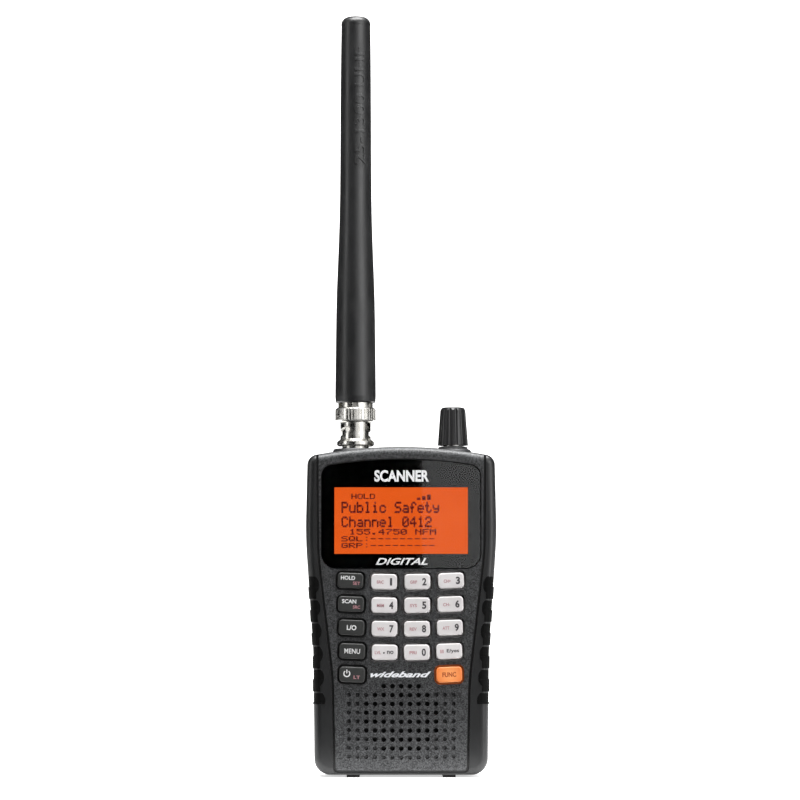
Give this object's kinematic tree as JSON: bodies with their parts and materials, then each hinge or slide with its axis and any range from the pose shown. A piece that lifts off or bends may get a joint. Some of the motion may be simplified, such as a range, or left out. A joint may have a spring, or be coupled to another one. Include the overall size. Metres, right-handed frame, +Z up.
{
  "type": "police scanner",
  "caption": "Handheld scanner radio with a rubber antenna on a bayonet connector, a fluted knob, a lit display, a keypad, a speaker grille, side grips, a belt clip and a battery door.",
  "frame": {"origin": "centre of the whole object's box at the surface that the feet stand on", "axes": "+X to the right as the user faces the keypad, +Y from the keypad to the back, +Z up along the antenna"},
  "size_m": [0.0682, 0.0444, 0.2763],
  "materials": {
    "case_plastic": "moulded dark grey plastic with a fine grain",
    "plate_paint": "dark grey paint with a fine sparkle",
    "grip_rubber": "black soft rubber",
    "window_lens": "clear polished acrylic",
    "mask_black": "black printed film",
    "lcd_glass": "liquid crystal glass lit orange from behind",
    "guide_white": "white diffusing plastic",
    "speaker_felt": "black acoustic cloth",
    "tin_steel": "tinned steel",
    "magnet_ferrite": "ferrite",
    "cone_paper": "black paper pulp",
    "mat_rubber": "black silicone rubber",
    "board_green": "glass fibre board with green solder mask",
    "chip_black": "moulded epoxy",
    "cell_jacket": "plain printed sleeve on a metal can",
    "contact_nickel": "nickel plated spring steel",
    "screw_black": "black oxide",
    "foot_rubber": "black rubber",
    "jack_black": "black moulded plastic",
    "connector_nickel": "nickel plated brass, turned",
    "insulator_white": "white plastic",
    "gasket_black": "black moulded ring",
    "knob_black": "black moulded plastic with a satin finish",
    "sheath_rubber": "dark grey flexible rubber",
    "core_resin": "varnished wound core",
    "clip_black": "black moulded plastic",
    "key_dark": "charcoal keycap",
    "key_white": "white keycap with printed legends",
    "key_orange": "orange keycap"
  },
  "bodies": {
    "case": {"front_case": "case_plastic", "face_plate": "plate_paint", "rear_case": "case_plastic", "grip_left": "grip_rubber", "grip_right": "grip_rubber", "display_window": "window_lens", "window_mask": "mask_black", "lcd_panel": "lcd_glass", "light_guide": "guide_white", "speaker_cloth": "speaker_felt", "speaker_frame": "tin_steel", "speaker_magnet": "magnet_ferrite", "speaker_cone": "cone_paper", "keypad_mat": "mat_rubber", "main_board": "board_green", "board_components": "chip_black", "rf_shield": "tin_steel", "battery_cells": "cell_jacket", "battery_contacts": "contact_nickel", "case_screws": "screw_black", "feet": "foot_rubber", "earphone_jack": "jack_black", "usb_jack": "tin_steel", "bnc_jack": "connector_nickel", "bnc_insulator": "insulator_white", "bnc_gasket": "gasket_black", "panel_nuts": "screw_black", "knob_gasket": "gasket_black", "encoder_body": "tin_steel", "clip_pin": "screw_black", "clip_spring": "contact_nickel"},
    "key_1": {"key_1": "key_white"},
    "key_2": {"key_2": "key_white"},
    "key_3": {"key_3": "key_white"},
    "key_4": {"key_4": "key_white"},
    "key_5": {"key_5": "key_white"},
    "key_6": {"key_6": "key_white"},
    "key_7": {"key_7": "key_white"},
    "key_8": {"key_8": "key_white"},
    "key_9": {"key_9": "key_white"},
    "key_0": {"key_0": "key_white"},
    "key_point": {"key_point": "key_white"},
    "key_enter": {"key_enter": "key_white"},
    "key_hold": {"key_hold": "key_dark"},
    "key_scan": {"key_scan": "key_dark"},
    "key_lockout": {"key_lockout": "key_dark"},
    "key_menu": {"key_menu": "key_dark"},
    "key_power": {"key_power": "key_dark"},
    "key_function": {"key_function": "key_orange"},
    "clip": {"belt_clip": "clip_black"},
    "door": {"battery_door": "case_plastic", "door_latch": "case_plastic"},
    "push_plunger": {"encoder_plunger": "insulator_white"},
    "knob": {"encoder_shaft": "connector_nickel", "volume_knob": "knob_black"},
    "antenna_carrier": {"collar_washer": "connector_nickel"},
    "antenna": {"antenna_plug": "connector_nickel", "antenna_sheath": "sheath_rubber", "antenna_core": "core_resin"},
    "collar": {"antenna_collar": "connector_nickel"}
  },
  "joints": [
    {"name": "key_1_press", "type": "slide", "parent": "case", "child": "key_1", "axis": [0, 1, 0], "range_m": [0, 0.0008], "stiffness_N_per_m": 1200},
    {"name": "key_2_press", "type": "slide", "parent": "case", "child": "key_2", "axis": [0, 1, 0], "range_m": [0, 0.0008], "stiffness_N_per_m": 1200},
    {"name": "key_3_press", "type": "slide", "parent": "case", "child": "key_3", "axis": [0, 1, 0], "range_m": [0, 0.0008], "stiffness_N_per_m": 1200},
    {"name": "key_4_press", "type": "slide", "parent": "case", "child": "key_4", "axis": [0, 1, 0], "range_m": [0, 0.0008], "stiffness_N_per_m": 1200},
    {"name": "key_5_press", "type": "slide", "parent": "case", "child": "key_5", "axis": [0, 1, 0], "range_m": [0, 0.0008], "stiffness_N_per_m": 1200},
    {"name": "key_6_press", "type": "slide", "parent": "case", "child": "key_6", "axis": [0, 1, 0], "range_m": [0, 0.0008], "stiffness_N_per_m": 1200},
    {"name": "key_7_press", "type": "slide", "parent": "case", "child": "key_7", "axis": [0, 1, 0], "range_m": [0, 0.0008], "stiffness_N_per_m": 1200},
    {"name": "key_8_press", "type": "slide", "parent": "case", "child": "key_8", "axis": [0, 1, 0], "range_m": [0, 0.0008], "stiffness_N_per_m": 1200},
    {"name": "key_9_press", "type": "slide", "parent": "case", "child": "key_9", "axis": [0, 1, 0], "range_m": [0, 0.0008], "stiffness_N_per_m": 1200},
    {"name": "key_0_press", "type": "slide", "parent": "case", "child": "key_0", "axis": [0, 1, 0], "range_m": [0, 0.0008], "stiffness_N_per_m": 1200},
    {"name": "key_point_press", "type": "slide", "parent": "case", "child": "key_point", "axis": [0, 1, 0], "range_m": [0, 0.0008], "stiffness_N_per_m": 1200},
    {"name": "key_enter_press", "type": "slide", "parent": "case", "child": "key_enter", "axis": [0, 1, 0], "range_m": [0, 0.0008], "stiffness_N_per_m": 1200},
    {"name": "key_hold_press", "type": "slide", "parent": "case", "child": "key_hold", "axis": [0, 1, 0], "range_m": [0, 0.0008], "stiffness_N_per_m": 1200},
    {"name": "key_scan_press", "type": "slide", "parent": "case", "child": "key_scan", "axis": [0, 1, 0], "range_m": [0, 0.0008], "stiffness_N_per_m": 1200},
    {"name": "key_lockout_press", "type": "slide", "parent": "case", "child": "key_lockout", "axis": [0, 1, 0], "range_m": [0, 0.0008], "stiffness_N_per_m": 1200},
    {"name": "key_menu_press", "type": "slide", "parent": "case", "child": "key_menu", "axis": [0, 1, 0], "range_m": [0, 0.0008], "stiffness_N_per_m": 1200},
    {"name": "key_power_press", "type": "slide", "parent": "case", "child": "key_power", "axis": [0, 1, 0], "range_m": [0, 0.0008], "stiffness_N_per_m": 1200},
    {"name": "key_function_press", "type": "slide", "parent": "case", "child": "key_function", "axis": [0, 1, 0], "range_m": [0, 0.0008], "stiffness_N_per_m": 1200},
    {"name": "knob_push", "type": "slide", "parent": "case", "child": "push_plunger", "axis": [0, 0, -1], "range_m": [0, 0.0005], "stiffness_N_per_m": 3000},
    {"name": "knob_turn", "type": "hinge", "parent": "push_plunger", "child": "knob", "pos_m": [0.0188, -0.0053, 0.12], "axis": [0, 0, 1], "continuous": true},
    {"name": "antenna_lift", "type": "slide", "parent": "case", "child": "antenna_carrier", "axis": [0, 0, 1], "range_m": [0, 0.0023]},
    {"name": "antenna_swivel", "type": "hinge", "parent": "antenna_carrier", "child": "antenna", "pos_m": [-0.01655, -0.0053, 0.13], "axis": [0, 0, 1], "continuous": true},
    {"name": "collar_turn", "type": "hinge", "parent": "antenna_carrier", "child": "collar", "pos_m": [-0.01655, -0.0053, 0.13], "axis": [0, 0, 1], "range_deg": [0, 90]},
    {"name": "clip_hinge", "type": "hinge", "parent": "case", "child": "clip", "pos_m": [0, 0.0133, 0.104], "axis": [1, 0, 0], "range_deg": [0, 16], "stiffness_Nm_per_rad": 0.25, "springref_deg": -14.32, "deforming": ["clip_spring"]},
    {"name": "door_hinge", "type": "hinge", "parent": "case", "child": "door", "pos_m": [0, 0.0086, 0.0101], "axis": [-1, 0, 0], "range_deg": [0, 80], "deforming": ["door_latch"]}
  ],
  "couplings": [
    {"joint": "collar_turn", "follows": "antenna_lift", "rad_per_m": 682.95}
  ]
}
